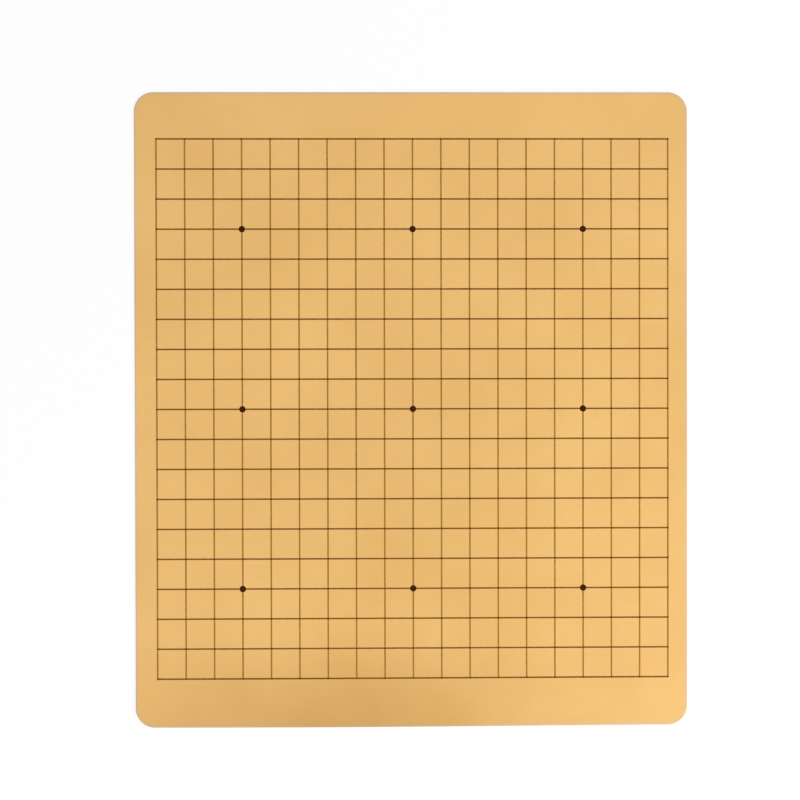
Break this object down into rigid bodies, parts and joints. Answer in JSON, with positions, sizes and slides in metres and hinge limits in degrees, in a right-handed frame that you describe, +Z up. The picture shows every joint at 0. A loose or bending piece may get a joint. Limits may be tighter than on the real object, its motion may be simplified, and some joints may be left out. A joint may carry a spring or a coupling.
{
  "type": "go board",
  "caption": "Roll-up go board: a flat rectangular mat of coated cloth with rounded corners, a printed playing grid and star points, laid on a table for play.",
  "frame": {"origin": "middle of the underside of the flat sheet, on the table", "axes": "+Z up out of the printed face, +Y towards the far edge as the player sees it, +X to the player's right"},
  "size_m": [0.428, 0.491, 0.0019],
  "materials": {
    "base_cloth": "matte",
    "tie_coat": "satin",
    "foam_coat": "matte",
    "face_skin": "satin",
    "ink": "satin"
  },
  "bodies": {
    "root": {"base_cloth": "base_cloth", "tie_coat": "tie_coat", "foam_coat": "foam_coat", "face_skin": "face_skin", "border_line": "ink", "grid_lines": "ink", "star_point_near_left": "ink", "star_point_near_centre": "ink", "star_point_near_right": "ink", "star_point_mid_left": "ink", "star_point_mid_centre": "ink", "star_point_mid_right": "ink", "star_point_far_left": "ink", "star_point_far_centre": "ink", "star_point_far_right": "ink"}
  },
  "joints": []
}
